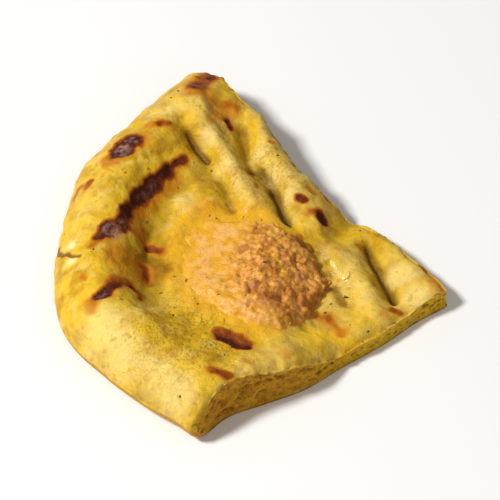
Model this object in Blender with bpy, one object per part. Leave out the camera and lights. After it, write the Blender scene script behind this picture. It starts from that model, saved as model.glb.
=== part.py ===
"""Garlic pita: one quarter wedge of a thick grilled flatbread, with a heap of minced garlic on top.

All lengths are millimetres until a vertex is written, when they become metres. The plan is laid out from
the wedge's apex, whose middle line runs along -X to the crust, with angles positive towards +Y. The finished
part stands on Z = 0 with its origin under the middle of its bounding box.
"""

import math
import random

import bmesh
import bpy
import numpy as np
from mathutils import Matrix, Vector, noise

MM = 0.001

# Plan of the wedge: distance of the crust from the apex by angle in degrees, and how far each cut bends
# outwards by distance from the apex
HALF_ANGLE = math.radians(43.3)
CRUST = (
    (-43.3, 71.8), (-39.0, 73.2), (-33.0, 76.7), (-25.0, 82.0), (-16.0, 88.1), (-6.0, 90.0),
    (5.0, 90.7), (16.0, 92.2), (26.0, 90.6), (34.0, 90.2), (39.0, 90.8), (43.3, 91.9),
)
FAR_CUT = (
    (0, 0.0), (8, 0.6), (18, 0.1), (27, -0.15), (35, -2.6), (44, -4.0),
    (55, -3.0), (66, -0.8), (77, -0.6), (86, 0.2), (95, -4.9),
)
NEAR_CUT = ((0, 0.0), (8, -0.4), (20, 0.7), (32, 0.8), (42, 1.2), (52, -0.6), (61, -2.2), (70, -0.1))
FAR_CORNER_ROUND = 2.0
NEAR_CORNER_ROUND = 1.2
APEX_BLUNT = 0.8
APEX_PLACE = (45.60, -5.97)

# Thickness
APEX_THICKNESS = 4.6
BODY_THICKNESS = 9.6
THICKENS_FROM, THICKENS_OVER = 30.0, 16.0
RIM_HEIGHT = 5.0
RIM_INSET = 11.0
RIM_WIDTH = 8.0
NEAR_RIM_SHARE, NEAR_RIM_FROM, NEAR_RIM_TO = 0.5, math.radians(-38.0), math.radians(-16.0)
FAR_RIM_LOSS, FAR_RIM_FROM = 0.55, math.radians(28.0)
EDGE_ROUND = 6.0
WALL_SLOPE = math.radians(15.0)
MIDDLE_SHARE = 0.46
PRESSED_EDGE, PRESSED_WIDTH, PRESSED_FROM = 1.1, 2.4, 12.0
CRUMB_RELIEF, CRUMB_WAVELENGTH = 0.5, 2.6
UNEVEN = ((0.55, 11.0, 3.0), (0.35, 5.5, 8.0))  # height, wavelength and seed of each layer

# Relief of the top: points along each fold in the plan, its height (a crease is negative) and its half width
FOLDS = (
    ([(-65, 47), (-63.7, 41.5), (-59.6, 36), (-56, 30.4), (-51.8, 22.8), (-48, 17)], 2.4, 3.8),
    ([(-64, 26), (-57, 17)], 0.9, 3.4),
    ([(-50.5, 45), (-48, 37), (-45, 31.6), (-41.3, 26.2), (-37.6, 21), (-34, 18)], 2.0, 3.6),
    ([(-31, 13), (-27.3, 8.3), (-23.6, 4.4), (-20.3, -1), (-17, -6), (-14.2, -10.5)], 1.7, 3.4),
    ([(-14.6, 13.4), (-10.6, 9), (-7, 4.2), (-4.4, -0.8), (-4, -3.6)], 1.5, 3.6),
    ([(-66.5, 38), (-63.3, 33.4), (-59.5, 29.7), (-55.5, 22.8), (-53, 16.6), (-51, 14)], -1.8, 2.4),
    ([(-52.8, 41), (-50.9, 32.4), (-48.3, 28), (-44.6, 25), (-42, 20), (-39, 14)], -2.3, 2.5),
    ([(-20.6, 13), (-19, 8.5), (-15.6, 2.3), (-12.6, -4)], -1.9, 2.1),
    ([(-26, 19), (-28.5, 14)], -1.5, 3.0),
    ([(-62, 25), (-68, 17), (-70, 9), (-70, 0), (-68, -8), (-66, -15)], -2.0, 4.2),
    ([(-72, -40), (-58, -44)], -1.0, 5.0),
)

# Low rounded swellings: place in the plan, height and radius
SWELLINGS = (
    ((-28.1, -19.6), 1.5, 3.8),
    ((-19.3, -15.2), 1.2, 3.4),
    ((-33.6, -27.4), 1.4, 4.4),
    ((-40.2, -35.5), 1.2, 5.0),
    ((-8.5, -6.0), 0.7, 3.4),
    ((-52, -38), 0.9, 7.0),
    ((-70, -26), 1.2, 7.0),
)

HOLLOW_AT, HOLLOW_DEPTH, HOLLOW_RADIUS = (-57, 0), 1.5, 14.0

# Garlic heap: a thick mound and a thin smear on its crust side, with the heap's reach from its middle by
# angle in degrees
GARLIC_AT = (-44.3, -4.2)
GARLIC_REACH = (
    (-180, 17.1), (-150, 15.9), (-131, 14.9), (-112, 14.2), (-86, 16.2), (-68, 18.2), (-46, 17.1),
    (-16, 16.4), (2, 18.0), (24, 17.8), (42, 17.4), (61, 17.2), (81, 16.7), (105, 17.9),
    (118, 19.6), (130, 21.4), (142, 21.2), (157, 19.2), (180, 17.1),
)
MOUND_AT, MOUND_HEIGHT, MOUND_RADIUS = (-38.5, -4.0), 3.0, (11.5, 15.0)
SMEAR_THICKNESS = 1.3
GARLIC_EDGE, GARLIC_EDGE_SHARE = 0.55, 0.16
GARLIC_UNEVEN = ((0.55, 2.4, 31.0), (0.35, 5.0, 37.0))
BED_SMOOTH_FROM, BED_SMOOTH_OVER = 0.95, 0.25
BED_GAP = 0.4
GRAIN_COUNT = 46
GRAIN_SIZE = (0.65, 1.0)
GRAIN_SPACING = 2.7
GRAIN_REACH = 0.86
BARE_SMEAR = 0.7  # share of the grains drawn on the smear that are left out

CRUMB_SEED = 17.0
GRAIN_SEED = 5
TOUCHING = 1e-5
WEDGE_CELLS = 46
WALL_ROWS = 4
GARLIC_CELLS = 21

BREAD_COLOUR = (0.80, 0.52, 0.11)
GARLIC_COLOUR = (0.66, 0.32, 0.10)


def smooth(share):
    share = np.clip(share, 0.0, 1.0)
    return share * share * (3.0 - 2.0 * share)


def bell(distance, width):
    return np.exp(-((distance / width) ** 2))


def rough(x, y, wavelength, seed):
    """Smooth noise between about -1 and 1 over the plan."""
    return np.array(
        [noise.noise(Vector((a / wavelength, b / wavelength, seed))) for a, b in zip(x, y)]
    )


def distance_to_path(x, y, path):
    nearest = np.full(x.shape, np.inf)
    for (ax, ay), (bx, by) in zip(path, path[1:]):
        dx, dy = bx - ax, by - ay
        along = np.clip(((x - ax) * dx + (y - ay) * dy) / (dx * dx + dy * dy), 0.0, 1.0)
        nearest = np.minimum(nearest, np.hypot(x - ax - along * dx, y - ay - along * dy))
    return nearest


def through(points, at):
    """Smooth curve through pairs of place and value."""
    places, values = np.array(points, float).T
    slopes = np.gradient(values, places)
    left = np.clip(np.searchsorted(places, at) - 1, 0, len(places) - 2)
    gap = places[left + 1] - places[left]
    share = np.clip((at - places[left]) / gap, 0.0, 1.0)
    before = (1.0 + 2.0 * share) * values[left] + share * gap * slopes[left]
    after = (3.0 - 2.0 * share) * values[left + 1] + (share - 1.0) * gap * slopes[left + 1]
    return (1.0 - share) ** 2 * before + share**2 * after


def crust_distance(theta):
    """Distance from the apex to the outermost crust, with its two corners rounded."""
    radius = through(CRUST, np.degrees(theta))
    for side, corner in ((1.0, FAR_CORNER_ROUND), (-1.0, NEAR_CORNER_ROUND)):
        past = np.clip(corner - radius * (HALF_ANGLE - side * theta), 0.0, corner)
        radius = radius - (corner - np.sqrt(corner**2 - past**2))
    return radius


def place(theta, r):
    """Plan point at an angle and a distance from the apex, after the tip is blunted and the cuts are bent."""
    x, y = -r * np.cos(theta), r * np.sin(theta)
    x = -np.sqrt(x * x + APEX_BLUNT**2)
    far = np.clip(theta / HALF_ANGLE, 0.0, 1.0) ** 2 * through(FAR_CUT, r)
    near = np.clip(-theta / HALF_ANGLE, 0.0, 1.0) ** 2 * through(NEAR_CUT, r)
    x = x + np.sin(HALF_ANGLE) * (near + far)
    y = y - np.cos(HALF_ANGLE) * (near - far)
    return x, y


def garlic_outline(angle):
    """Reach of the garlic from its middle at an angle."""
    return through(GARLIC_REACH, (np.degrees(angle) + 180.0) % 360.0 - 180.0)


def garlic_share(x, y):
    """0 in the middle of the garlic, 1 at its outline and more outside it."""
    dx, dy = x - GARLIC_AT[0], y - GARLIC_AT[1]
    return np.hypot(dx, dy) / garlic_outline(np.arctan2(dy, dx))


def rim_puff(theta):
    """Share of the rim's height: full along the crust, half at the near corner and less at the far one."""
    near = smooth((theta - NEAR_RIM_FROM) / (NEAR_RIM_TO - NEAR_RIM_FROM))
    far = smooth((theta - FAR_RIM_FROM) / (HALF_ANGLE - FAR_RIM_FROM))
    return NEAR_RIM_SHARE + (1.0 - NEAR_RIM_SHARE) * near - FAR_RIM_LOSS * far


def unevenness(x, y, layers):
    return sum(height * rough(x, y, wavelength, seed) for height, wavelength, seed in layers)


def top_height(x, y, theta, r):
    """Height of the bread's upper skin, without the rounding at the crust."""
    inset = crust_distance(theta) - r
    from_cut = r * np.sin(np.clip(HALF_ANGLE - np.abs(theta), 0.0, None))
    thick = smooth((r - THICKENS_FROM) / THICKENS_OVER)
    height = APEX_THICKNESS + (BODY_THICKNESS - APEX_THICKNESS) * thick
    height = height + rim_puff(theta) * RIM_HEIGHT * bell(inset - RIM_INSET, RIM_WIDTH)
    height = height - HOLLOW_DEPTH * bell(np.hypot(x - HOLLOW_AT[0], y - HOLLOW_AT[1]), HOLLOW_RADIUS)
    detail = unevenness(x, y, UNEVEN)
    for path, rise, width in FOLDS:
        detail = detail + rise * bell(distance_to_path(x, y, path), width)
    for (cx, cy), rise, width in SWELLINGS:
        detail = detail + rise * bell(np.hypot(x - cx, y - cy), width)
    height = height + detail * smooth((garlic_share(x, y) - BED_SMOOTH_FROM) / BED_SMOOTH_OVER)
    return height - PRESSED_EDGE * bell(from_cut, PRESSED_WIDTH) * smooth(r / PRESSED_FROM)


def polar(x, y):
    return np.arctan2(y, -x), np.hypot(x, y)


def divided_box(name, cells, rows):
    """A unit box split into cells along X and Y and into rows along Z."""
    mesh = bmesh.new()
    bmesh.ops.create_cube(mesh, size=1.0, matrix=Matrix.Translation((0.5, 0.5, 0.5)))
    flat = [e for e in mesh.edges if abs(e.verts[0].co.z - e.verts[1].co.z) < 0.5]
    bmesh.ops.subdivide_edges(mesh, edges=flat, cuts=cells - 1, use_grid_fill=True)
    upright = [e for e in mesh.edges if abs(e.verts[0].co.z - e.verts[1].co.z) > 0.5]
    bmesh.ops.subdivide_edges(mesh, edges=upright, cuts=rows - 1, use_grid_fill=True)
    data = bpy.data.meshes.new(name)
    mesh.to_mesh(data)
    mesh.free()
    return data


def corners(data):
    points = np.empty(len(data.vertices) * 3)
    data.vertices.foreach_get("co", points)
    return points.reshape(-1, 3).T


def write_points(data, x, y, z):
    points = np.stack([x + APEX_PLACE[0], y + APEX_PLACE[1], z], axis=1) * MM
    data.vertices.foreach_set("co", points.astype(np.float32).ravel())
    data.update()


def shape_wedge(data):
    """Bends the unit box into the wedge: its U and V sides at 0 are the cuts, those at 1 make the crust."""
    u, v, w = corners(data)
    a, b = u * np.sqrt(1.0 - v * v / 2.0), v * np.sqrt(1.0 - u * u / 2.0)
    theta = (np.arctan2(a, b) / (math.pi / 2.0) - 0.5) * 2.0 * HALF_ANGLE
    reach = crust_distance(theta)
    share = np.minimum(np.hypot(a, b), 1.0)
    on_crust = share > 1.0 - TOUCHING
    on_wall = (w > TOUCHING) & (w < 1.0 - TOUCHING)

    # Slope of the rounded crust: level on the top and the underside, upright at half height
    curved = EDGE_ROUND * (math.pi / 2.0 - WALL_SLOPE)
    nominal = (1.0 - share) * reach
    slope = WALL_SLOPE + (math.pi / 2.0 - WALL_SLOPE) * np.clip(nominal / curved, 0.0, 1.0)
    slope = np.where(on_crust, np.abs(2.0 * w - 1.0) * WALL_SLOPE, slope)
    inside = EDGE_ROUND + (nominal - curved) * (reach - EDGE_ROUND) / (reach - curved)
    inset = np.where(nominal > curved, inside, EDGE_ROUND * (1.0 - np.cos(slope)))
    x, y = place(theta, reach - inset)

    top = top_height(x, y, theta, reach - inset)
    middle = MIDDLE_SHARE * top
    upper = middle + np.sin(slope) * (top - middle)
    lower = middle * (1.0 - np.sin(slope))
    lower[nominal >= curved] = 0.0
    height = lower + (upper - lower) * np.where(on_crust, np.round(w), w)
    height = np.where(on_crust & on_wall, middle + (w - 0.5) * (upper - lower), height)

    # Open crumb on the two cuts
    cut = ((u < TOUCHING) | (v < TOUCHING)) & on_wall
    side = np.where(u < TOUCHING, -1.0, 1.0)
    pits = CRUMB_RELIEF * rough(share * reach, height, CRUMB_WAVELENGTH, CRUMB_SEED) * cut
    x = x + np.sin(HALF_ANGLE) * pits
    y = y + np.cos(HALF_ANGLE) * pits * side
    write_points(data, x, y, height)


def garlic_thickness(x, y):
    share = garlic_share(x, y)
    mound = bell((x - MOUND_AT[0]) / MOUND_RADIUS[0], 1.0) * bell((y - MOUND_AT[1]) / MOUND_RADIUS[1], 1.0)
    body = SMEAR_THICKNESS + MOUND_HEIGHT * mound + unevenness(x, y, GARLIC_UNEVEN) * (1.0 + mound) / 2.0
    return GARLIC_EDGE + (body - GARLIC_EDGE) * smooth((1.0 - share) / GARLIC_EDGE_SHARE)


def bed_height(x, y):
    theta, r = polar(x, y)
    return top_height(x, y, theta, r) + BED_GAP


def shape_garlic(data):
    u, v, w = corners(data)
    u, v = 2.0 * u - 1.0, 2.0 * v - 1.0
    a, b = u * np.sqrt(1.0 - v * v / 2.0), v * np.sqrt(1.0 - u * u / 2.0)
    reach = garlic_outline(np.arctan2(b, a))
    x, y = GARLIC_AT[0] + a * reach, GARLIC_AT[1] + b * reach
    write_points(data, x, y, bed_height(x, y) + w * garlic_thickness(x, y))


def grain_places(source):
    """Places for the loose grains: spread evenly over the mound, thinner on the smear."""
    found = []
    while len(found) < GRAIN_COUNT:
        angle, share = source.uniform(0.0, math.tau), GRAIN_REACH * math.sqrt(source.random())
        reach = float(garlic_outline(angle)) * share
        x, y = GARLIC_AT[0] + reach * math.cos(angle), GARLIC_AT[1] + reach * math.sin(angle)
        on_smear = x < MOUND_AT[0] - MOUND_RADIUS[0]
        apart = all(math.hypot(x - p, y - q) > GRAIN_SPACING for p, q in found)
        if apart and not (on_smear and source.random() < BARE_SMEAR):
            found.append((x, y))
    return found


def add_grains(collection):
    source = random.Random(GRAIN_SEED)
    for number, (x, y) in enumerate(grain_places(source)):
        px, py = np.array([x]), np.array([y])
        z = float((bed_height(px, py) + garlic_thickness(px, py))[0])
        size = source.uniform(*GRAIN_SIZE)
        mesh = bmesh.new()
        bmesh.ops.create_icosphere(mesh, subdivisions=1, radius=size)
        for vertex in mesh.verts:
            vertex.co *= source.uniform(0.85, 1.15)
        data = bpy.data.meshes.new(f"grain_{number}")
        mesh.to_mesh(data)
        mesh.free()
        stretch = Matrix.Diagonal((source.uniform(0.9, 1.5), 1.0, 0.8, 1.0))
        turn = Matrix.Rotation(source.uniform(0.0, math.pi), 4, "Z")
        data.transform(turn @ stretch)
        data.transform(Matrix.Translation((x + APEX_PLACE[0], y + APEX_PLACE[1], z)))
        data.transform(Matrix.Scale(MM, 4))
        collection.objects.link(bpy.data.objects.new(data.name, data))


def fuse(target, collection):
    """Joins every object of a collection to the target, then removes them."""
    join = target.modifiers.new("grains", "BOOLEAN")
    join.operation = "UNION"
    join.operand_type = "COLLECTION"
    join.collection = collection
    join.solver = "MANIFOLD"
    bpy.context.view_layer.update()
    evaluated = target.evaluated_get(bpy.context.evaluated_depsgraph_get())
    joined = bpy.data.meshes.new_from_object(evaluated)
    target.modifiers.clear()
    target.data = joined
    for piece in list(collection.objects):
        bpy.data.objects.remove(piece)
    bpy.data.collections.remove(collection)


def material(name, colour, roughness):
    made = bpy.data.materials.new(name)
    made.use_nodes = True
    surface = made.node_tree.nodes["Principled BSDF"]
    surface.inputs["Base Color"].default_value = (*colour, 1.0)
    surface.inputs["Roughness"].default_value = roughness
    surface.inputs["Metallic"].default_value = 0.0
    return made


def pita_wedge(collection):
    data = divided_box("pita_wedge", WEDGE_CELLS, WALL_ROWS)
    shape_wedge(data)
    data.materials.append(material("baked_bread", BREAD_COLOUR, 0.55))
    data.shade_smooth()
    wedge = bpy.data.objects.new("pita_wedge", data)
    collection.objects.link(wedge)
    flat = wedge.modifiers.new("flat_underside", "DECIMATE")
    flat.decimate_type = "DISSOLVE"
    flat.angle_limit = math.radians(0.05)
    return wedge


def garlic_paste(collection):
    data = divided_box("garlic_paste", GARLIC_CELLS, 2)
    shape_garlic(data)
    heap = bpy.data.objects.new("garlic_paste", data)
    collection.objects.link(heap)
    grains = bpy.data.collections.new("grains")
    bpy.context.scene.collection.children.link(grains)
    add_grains(grains)
    fuse(heap, grains)
    heap.data.materials.clear()
    heap.data.materials.append(material("minced_garlic", GARLIC_COLOUR, 0.35))
    heap.data.shade_smooth()
    return heap


def main():
    for old in list(bpy.data.objects):
        bpy.data.objects.remove(old)
    collection = bpy.data.collections.new("garlic_pita")
    bpy.context.scene.collection.children.link(collection)
    pita_wedge(collection)
    garlic_paste(collection)


main()
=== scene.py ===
"""Looks of the garlic pita: one grilled flatbread wedge with a heap of minced garlic.

The wedge and the heap are worked out in millimetres in the wedge's own plan. Its origin is the apex, and its
middle line runs along -X to the crust. The meshes are written in metres in the frame's coordinates.
"""

import math
import random

import bmesh
import bpy
import numpy as np
from mathutils import Matrix, Vector, bvhtree, kdtree, noise


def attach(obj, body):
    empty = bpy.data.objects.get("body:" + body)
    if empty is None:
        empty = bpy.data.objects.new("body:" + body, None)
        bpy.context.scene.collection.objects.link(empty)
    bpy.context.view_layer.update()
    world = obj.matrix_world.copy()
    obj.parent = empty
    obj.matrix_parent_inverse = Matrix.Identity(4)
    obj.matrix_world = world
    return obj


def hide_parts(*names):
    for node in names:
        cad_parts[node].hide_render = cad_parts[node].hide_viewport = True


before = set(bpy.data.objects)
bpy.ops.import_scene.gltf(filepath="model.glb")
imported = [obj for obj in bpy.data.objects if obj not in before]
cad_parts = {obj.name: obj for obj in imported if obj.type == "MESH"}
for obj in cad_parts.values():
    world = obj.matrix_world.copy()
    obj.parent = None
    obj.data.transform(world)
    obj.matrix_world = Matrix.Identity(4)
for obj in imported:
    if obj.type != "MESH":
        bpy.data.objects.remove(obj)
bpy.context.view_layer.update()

MM = 0.001

# Plan of the wedge: distance of the crust from the apex by angle in degrees, and how far each cut bends
# outwards by distance from the apex
HALF_ANGLE = math.radians(43.3)
CRUST = (
    (-43.3, 71.8), (-39.0, 73.2), (-33.0, 76.7), (-25.0, 82.0), (-16.0, 88.1), (-6.0, 90.0),
    (5.0, 90.7), (16.0, 92.2), (26.0, 90.6), (34.0, 90.2), (39.0, 90.8), (43.3, 91.9),
)
FAR_CUT = (
    (0, 0.0), (8, 0.6), (18, 0.1), (27, -0.15), (35, -2.6), (44, -4.0),
    (55, -3.0), (66, -0.8), (77, -0.6), (86, 0.2), (95, -4.9),
)
NEAR_CUT = ((0, 0.0), (8, -0.4), (20, 0.7), (32, 0.8), (42, 1.2), (52, -0.6), (61, -2.2), (70, -0.1))
FAR_CORNER_ROUND = 2.0
NEAR_CORNER_ROUND = 1.2
APEX_BLUNT = 0.8
APEX_PLACE = (45.60, -5.97)

# Thickness
APEX_THICKNESS = 4.6
BODY_THICKNESS = 9.6
THICKENS_FROM, THICKENS_OVER = 30.0, 16.0
RIM_HEIGHT, RIM_INSET, RIM_WIDTH = 5.0, 11.0, 8.0
NEAR_RIM_SHARE, NEAR_RIM_FROM, NEAR_RIM_TO = 0.5, math.radians(-38.0), math.radians(-16.0)
FAR_RIM_LOSS, FAR_RIM_FROM = 0.55, math.radians(28.0)
EDGE_ROUND = 6.0
WALL_SLOPE = math.radians(15.0)
MIDDLE_SHARE = 0.46
PRESSED_EDGE, PRESSED_WIDTH, PRESSED_FROM = 1.1, 2.4, 12.0
TALLEST = 15.55

# Layers of noise, each with its height, wavelength and seed: the broad relief that the solid has too, the
# skin's own roughness, and how ragged and blotchy the burnt places are
UNEVEN = ((0.55, 11.0, 3.0), (0.35, 5.5, 8.0))
SKIN_ROUGH = ((0.40, 4.6, 69.0), (0.26, 2.6, 71.0), (0.13, 1.4, 73.0), (0.06, 0.8, 79.0))
BURN_RAGGED = ((0.8, 3.0, 51.0), (0.4, 1.5, 53.0))
BURN_BLOTCHY = ((0.18, 2.4, 55.0), (0.08, 0.9, 57.0))

# Fine relief: pits and char in the skin, the lip along each cut and how far the cuts' crumb is set back
PIT_PITCH, PIT_DEPTH, CHAR_DEPTH = 2.4, 0.30, 0.45
LIP_WIDTH, CRUMB_SETBACK, UNDERSIDE_RELIEF = 1.1, 0.3, 0.30

# Folds of the top: points along each in the plan, its height (a crease is negative) and its half width
FOLDS = (
    ([(-65, 47), (-63.7, 41.5), (-59.6, 36), (-56, 30.4), (-51.8, 22.8), (-48, 17)], 2.4, 3.8),
    ([(-64, 26), (-57, 17)], 0.9, 3.4),
    ([(-50.5, 45), (-48, 37), (-45, 31.6), (-41.3, 26.2), (-37.6, 21), (-34, 18)], 2.0, 3.6),
    ([(-31, 13), (-27.3, 8.3), (-23.6, 4.4), (-20.3, -1), (-17, -6), (-14.2, -10.5)], 1.7, 3.4),
    ([(-14.6, 13.4), (-10.6, 9), (-7, 4.2), (-4.4, -0.8), (-4, -3.6)], 1.5, 3.6),
    ([(-66.5, 38), (-63.3, 33.4), (-59.5, 29.7), (-55.5, 22.8), (-53, 16.6), (-51, 14)], -1.8, 2.4),
    ([(-52.8, 41), (-50.9, 32.4), (-48.3, 28), (-44.6, 25), (-42, 20), (-39, 14)], -2.3, 2.5),
    ([(-20.6, 13), (-19, 8.5), (-15.6, 2.3), (-12.6, -4)], -1.9, 2.1),
    ([(-26, 19), (-28.5, 14)], -1.5, 3.0),
    ([(-62, 25), (-68, 17), (-70, 9), (-70, 0), (-68, -8), (-66, -15)], -2.0, 4.2),
    ([(-72, -40), (-58, -44)], -1.0, 5.0),
)

# Sharp lines that the solids are too coarse for: path, depth, half width and how much painted shade darkens
# them
FINE_CREASES = (
    ([(-65.2, 35.6), (-63.3, 33.4), (-61.6, 31.7), (-59.8, 30.2)], -1.2, 0.8, 1.0),
    ([(-56.5, 24.5), (-54.5, 20.5), (-53, 16.6), (-51.8, 14.9)], -0.5, 1.0, 0.7),
    ([(-52.8, 41.3), (-52.2, 38), (-50.9, 32.4)], -0.5, 0.9, 0.6),
    ([(-49.6, 28.5), (-46.9, 28.3), (-45.3, 26.6), (-43.8, 23.9)], -0.9, 0.9, 0.8),
    ([(-43.8, 23.9), (-42.1, 20.2), (-41.1, 17.2), (-39.1, 14.1)], -1.3, 1.0, 1.0),
    ([(-20.6, 12.9), (-19, 8.5), (-17.1, 5.5), (-15.6, 2.3), (-13.9, -0.7), (-12.6, -3.9)], -1.1, 0.9, 0.9),
    ([(-89.9, -2.6), (-88.2, -4.6), (-86.8, -5.4), (-85.0, -7.3), (-83.6, -7.6)], -0.5, 0.45, 1.0),
    ([(-69.5, 9), (-70.2, 2), (-69.4, -4), (-67.6, -9)], -0.6, 1.3, 0.5),
)

# Low rounded swellings: place in the plan, height and radius
SWELLINGS = (
    ((-28.1, -19.6), 1.5, 3.8), ((-19.3, -15.2), 1.2, 3.4), ((-33.6, -27.4), 1.4, 4.4),
    ((-40.2, -35.5), 1.2, 5.0), ((-8.5, -6.0), 0.7, 3.4), ((-52, -38), 0.9, 7.0), ((-70, -26), 1.2, 7.0),
)

HOLLOW_AT, HOLLOW_DEPTH, HOLLOW_RADIUS = (-57, 0), 1.5, 14.0

# Scorching: path, half width of its middle, how far it fades outwards, how burnt it is (0.3 orange, 0.6
# brown, 1 black) and, where it has ash, its share of grey
MARKS = (
    ([(-77.7, 28.8), (-78.6, 27.0), (-79.3, 25.4)], 2.0, 2.2, 0.97, 0.9),
    ([(-79.8, 21.6), (-81.8, 21.7), (-82.6, 23.4)], 0.6, 2.4, 0.44),
    ([(-74.9, 27.1), (-75.6, 29.8)], 0.3, 1.3, 0.55),
    ([(-74.7, 34.4), (-72.1, 35.1)], 0.3, 2.4, 0.40),
    ([(-71.4, 35.2), (-69.8, 35.4)], 0.3, 2.0, 0.68),
    ([(-65.4, 28.0), (-66.9, 26.0), (-68.6, 23.3)], 0.4, 2.2, 0.92),
    ([(-68.6, 23.3), (-69.6, 21.6), (-70.5, 20.0)], 0.5, 2.2, 0.96),
    ([(-70.5, 20.0), (-71.9, 17.0), (-73.4, 13.8)], 0.9, 2.2, 0.98, 0.2),
    ([(-73.4, 13.8), (-74.4, 10.4), (-75.4, 6.4)], 0.6, 2.2, 0.95),
    ([(-66.3, 23.4), (-68.0, 19.2), (-70.4, 14.0), (-73.2, 8.6)], 0.4, 3.2, 0.30),
    ([(-75.4, 4.0), (-77.2, 2.0), (-78.2, 0.6)], 1.4, 1.9, 0.84, 0.8),
    ([(-78.8, 1.4), (-79.6, -0.4), (-80.5, -2.2)], 0.7, 1.6, 0.93, 0.2),
    ([(-80.5, -3.8), (-81.2, -5.6)], 0.4, 2.0, 0.55),
    ([(-77.4, -2.4), (-76.0, -6.2), (-76.4, -9.0)], 0.8, 3.2, 0.26),
    ([(-71.7, 5.5), (-71.2, 2.8)], 0.3, 1.9, 0.62),
    # the next mark, on the crust's inner slope, is partly scorch and partly painted shade
    ([(-69.6, -4.8), (-68.5, -8.2)], 0.4, 2.8, 0.68),
    ([(-68.9, 1.8), (-66.8, 0.8)], 0.4, 2.2, 0.74),
    ([(-77.3, -20.8), (-76.2, -19.4)], 0.6, 1.9, 0.96, 0.6),
    ([(-76.2, -19.4), (-75.0, -17.8), (-73.9, -16.2)], 0.5, 2.2, 0.92),
    ([(-74.2, -15.2), (-73.0, -14.0), (-71.6, -14.0)], 1.0, 2.6, 0.64),
    ([(-70.4, -14.2), (-69.4, -15.6), (-68.8, -16.4)], 0.2, 1.6, 0.82),
    ([(-78.6, -21.4), (-77.8, -23.0)], 0.5, 2.8, 0.44),
    ([(-50.0, -23.9), (-47.8, -24.2), (-45.0, -25.1), (-43.2, -26.2)], 0.8, 1.9, 0.72),
    ([(-49.2, -25.7), (-47.4, -26.4), (-45.4, -26.9), (-43.0, -27.3)], 0.4, 1.5, 0.93),
    ([(-49.2, -37.9), (-47.5, -37.7), (-46.0, -38.0)], 0.5, 1.8, 0.72),
    ([(-42.8, -32.7), (-41.8, -33.0)], 0.3, 1.6, 0.34),
    ([(-60.3, 39.8), (-59.9, 39.5)], 0.3, 1.4, 0.44),
    ([(-56.8, 41.5), (-56.0, 40.9)], 0.5, 1.5, 0.76),
    ([(-57.0, 46.6), (-55.6, 46.0)], 0.4, 2.2, 0.36),
    ([(-56.9, 55.4), (-56.1, 54.7)], 0.4, 1.0, 0.62),
    ([(-45.9, 35.7), (-45.5, 35.4)], 0.3, 0.8, 0.50),
    ([(-49.8, 27.6), (-49.3, 26.9)], 0.6, 1.1, 0.56),
    ([(-47.6, 22.5), (-47.2, 22.1)], 0.5, 1.0, 0.44),
    ([(-37.2, 19.8), (-35.9, 19.5)], 0.7, 0.9, 0.84),
    ([(-35.5, 23.8), (-34.9, 22.8), (-34.0, 22.5)], 0.3, 0.9, 0.50),
    ([(-34.4, 17.0), (-32.8, 17.2)], 0.7, 1.6, 0.60),
    ([(-32.2, 16.9), (-30.9, 16.6)], 0.5, 1.4, 0.90),
    ([(-27.5, 8.7), (-27.1, 8.5)], 0.3, 1.0, 0.34),
    ([(-22.9, 12.1), (-22.3, 11.6)], 0.4, 1.0, 0.44),
    ([(-88.4, 14.6), (-87.8, 16.8)], 0.3, 1.3, 0.58),
    ([(-85.8, 14.6), (-85.2, 16.4)], 0.3, 1.3, 0.62),
    ([(-82.0, -14.0), (-81.3, -14.7)], 0.3, 1.0, 0.42),
    ([(-90.0, -1.2), (-89.8, -2.2)], 0.4, 0.9, 0.80),
    ([(-7.1, 7.4), (-6.3, 6.6)], 0.4, 1.4, 0.72),
    ([(-5.0, 4.6), (-3.8, 3.0), (-2.0, 0.6)], 0.4, 2.6, 0.40),
    ([(-12.6, -7.6), (-10.6, -8.0)], 0.3, 1.3, 0.66),
    ([(-14.8, -10.0), (-13.6, -10.5)], 0.3, 2.0, 0.28),
    ([(-26.6, -11.4), (-25.0, -13.6), (-23.0, -16.2)], 0.3, 2.0, 0.50),
    ([(-31.4, -10.4), (-29.6, -11.8), (-27.6, -11.4)], 0.4, 2.8, 0.44),
    ([(-64.9, 49.0), (-64.2, 52.0), (-63.4, 54.6), (-62.8, 57.4)], 1.5, 2.6, 0.67),
    ([(-62.4, 55.6), (-62.0, 57.6)], 0.4, 1.6, 0.50),
    ([(-66.6, 50.6), (-66.2, 46.4)], 0.8, 3.2, 0.40),
    ([(-61.6, 45.6), (-59.4, 43.6), (-56.4, 45.4)], 1.2, 3.6, 0.38),
)
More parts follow.
